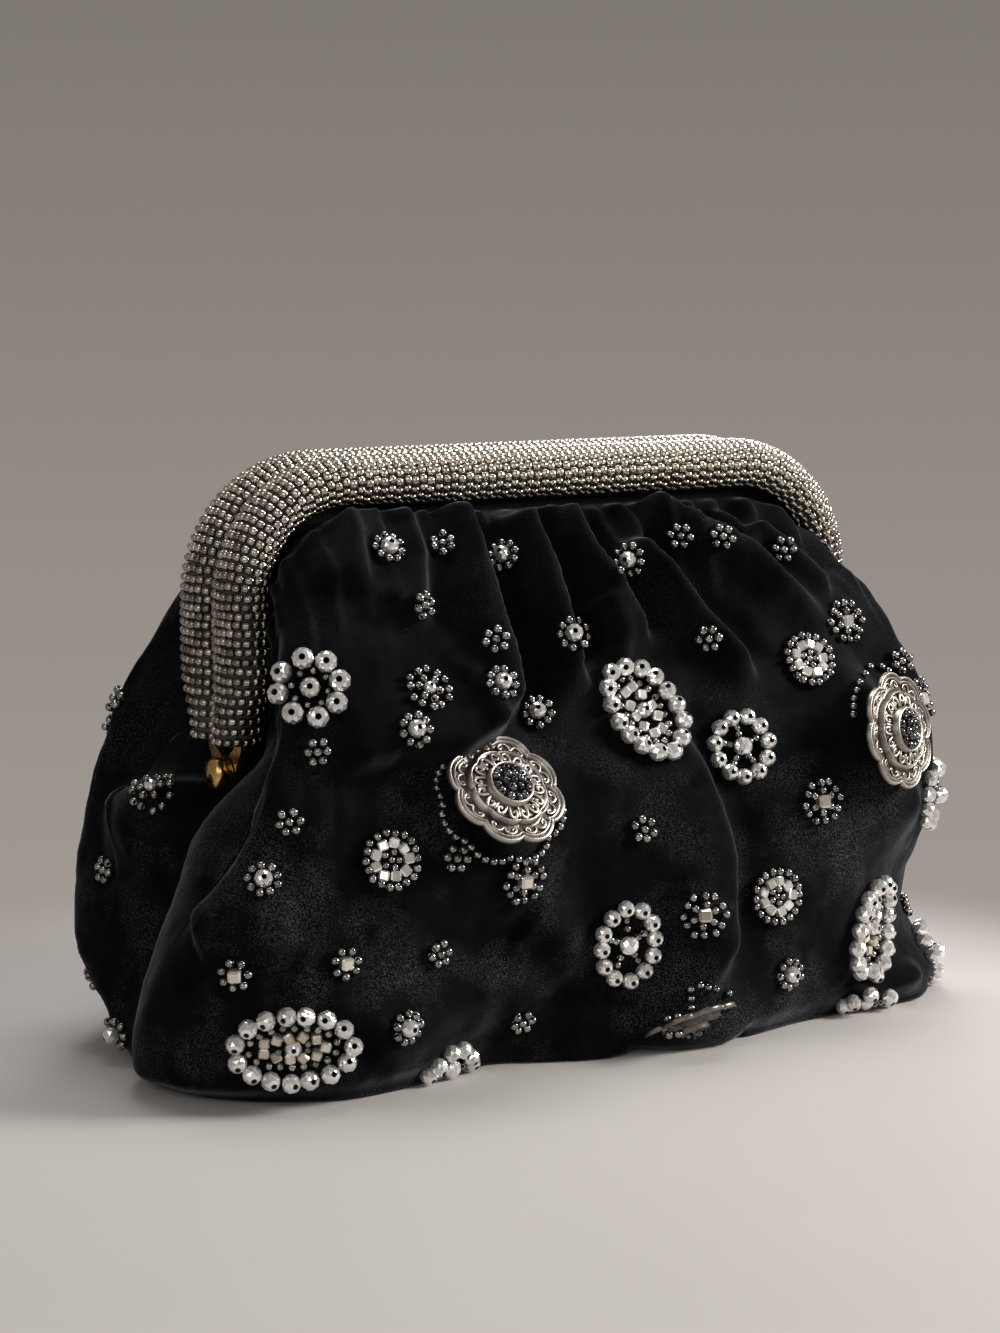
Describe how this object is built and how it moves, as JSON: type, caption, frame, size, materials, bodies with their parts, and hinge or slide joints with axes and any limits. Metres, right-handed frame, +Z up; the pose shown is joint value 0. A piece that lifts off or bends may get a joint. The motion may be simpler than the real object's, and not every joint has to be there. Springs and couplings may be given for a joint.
{
  "type": "beaded clutch bag",
  "caption": "Soft velvet clutch gathered into a hinged frame of two padded beaded rolls, with sewn bead motifs and metal medallions.",
  "frame": {"origin": "middle of the flat base, on the surface the bag rests on", "axes": "+X along the frame towards the right-hand hinge as seen from the front, +Z up, the front faces -Y"},
  "size_m": [0.2664, 0.1195, 0.165],
  "materials": {
    "velvet": "black silk velvet with a short pile",
    "lining": "black satin",
    "seed_beads": "gunmetal lustre seed beads",
    "facet_beads": "faceted beads with a mirror silver coat",
    "cube_beads": "champagne lined cube beads",
    "medallion_metal": "antique silver plate with dark recesses",
    "brass": "polished gold tone",
    "frame_steel": "plain rolled steel",
    "padding": "grey felt",
    "board": "uncoated board",
    "paper_cord": "twisted paper",
    "magnet": "nickel plated"
  },
  "bodies": {
    "pouch": {"base_board": "board", "hinge_pin_left": "brass", "hinge_pin_right": "brass", "lining_base": "lining", "lining_front_lower": "lining", "lining_rear_lower": "lining", "medallion_middle": "medallion_metal", "medallion_rear": "medallion_metal", "medallion_right": "medallion_metal", "motif_oval_low_left": "facet_beads", "motif_oval_middle": "facet_beads", "motif_oval_rear_left": "facet_beads", "motif_oval_right": "facet_beads", "motif_ring_low_middle": "facet_beads", "motif_ring_rear_middle": "facet_beads", "motif_ring_right": "facet_beads", "motif_round_left": "cube_beads", "motif_round_low_right": "cube_beads", "motif_round_rear_right": "cube_beads", "seed_cup_middle": "seed_beads", "seed_cup_rear": "seed_beads", "seed_cup_right": "seed_beads", "slip_pocket": "lining", "velvet_base": "velvet", "velvet_front_lower": "velvet", "velvet_rear_lower": "velvet"},
    "front_frame": {"bead_roll_front_left": "seed_beads", "bead_roll_front_right": "seed_beads", "bead_roll_front_top": "seed_beads", "frame_channel_front": "frame_steel", "frame_cord_front": "paper_cord", "frame_padding_front": "padding", "hinge_lug_front_left": "brass", "hinge_lug_front_right": "brass", "lining_front_upper": "lining", "magnet_front_left": "magnet", "magnet_front_right": "magnet", "motif_ring_by_arm": "facet_beads", "motif_round_by_right_arm": "cube_beads", "velvet_front_upper": "velvet"},
    "rear_frame": {"bead_roll_rear_left": "seed_beads", "bead_roll_rear_right": "seed_beads", "bead_roll_rear_top": "seed_beads", "frame_channel_rear": "frame_steel", "frame_cord_rear": "paper_cord", "frame_padding_rear": "padding", "hinge_lug_rear_left": "brass", "hinge_lug_rear_right": "brass", "lining_rear_upper": "lining", "magnet_rear_left": "magnet", "magnet_rear_right": "magnet", "velvet_rear_upper": "velvet"}
  },
  "joints": [
    {"name": "front_frame_hinge", "type": "hinge", "parent": "pouch", "child": "front_frame", "pos_m": [0, 0, 0.079], "axis": [1, 0, 0], "range_deg": [0, 30], "deforming": ["velvet_front_upper", "lining_front_upper"]},
    {"name": "rear_frame_hinge", "type": "hinge", "parent": "pouch", "child": "rear_frame", "pos_m": [0, 0, 0.079], "axis": [1, 0, 0], "range_deg": [-30, 0], "deforming": ["velvet_rear_upper", "lining_rear_upper"]}
  ],
  "couplings": [
    {"joint": "rear_frame_hinge", "follows": "front_frame_hinge", "ratio": -1}
  ]
}
